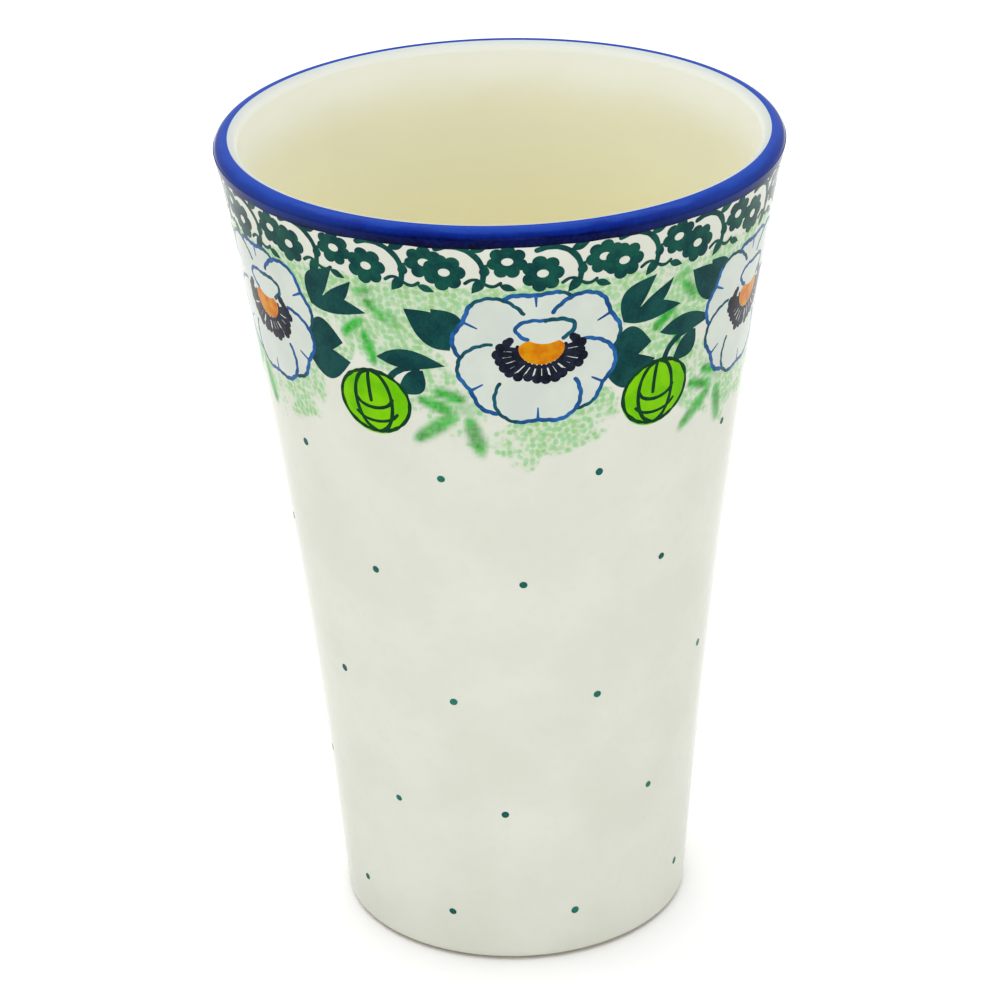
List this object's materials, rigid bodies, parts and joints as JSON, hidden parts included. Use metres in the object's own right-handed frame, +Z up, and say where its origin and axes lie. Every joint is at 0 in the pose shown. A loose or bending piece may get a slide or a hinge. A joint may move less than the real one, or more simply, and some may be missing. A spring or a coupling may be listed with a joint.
{
  "type": "stoneware tumbler",
  "caption": "Tall handleless stoneware tumbler, flared towards a rounded cobalt lip, with a folk flower garland under the rim and a flat foot ring.",
  "frame": {"origin": "on the tumbler's axis, at the plane of the foot ring that it stands on", "axes": "+Z up along the axis to the mouth; the tumbler is round, and -Y is the side of the garland's middle blossom"},
  "size_m": [0.0994, 0.0994, 0.15],
  "materials": {
    "fired_clay": "bare fired stoneware, matt, shown only on the standing ring",
    "ivory_glaze": "glossy ivory glaze over the painted and sponged decoration",
    "cobalt_glaze": "glossy cobalt blue band, darker where the glaze pools",
    "cream_glaze": "glossy warm cream glaze, whiter under the lip",
    "ivory_underside_glaze": "glossy ivory glaze in the recess under the foot"
  },
  "bodies": {
    "root": {"stoneware_body": "fired_clay", "outside_glaze": "ivory_glaze", "rim_band": "cobalt_glaze", "inside_glaze": "cream_glaze", "recess_glaze": "ivory_underside_glaze"}
  },
  "joints": []
}
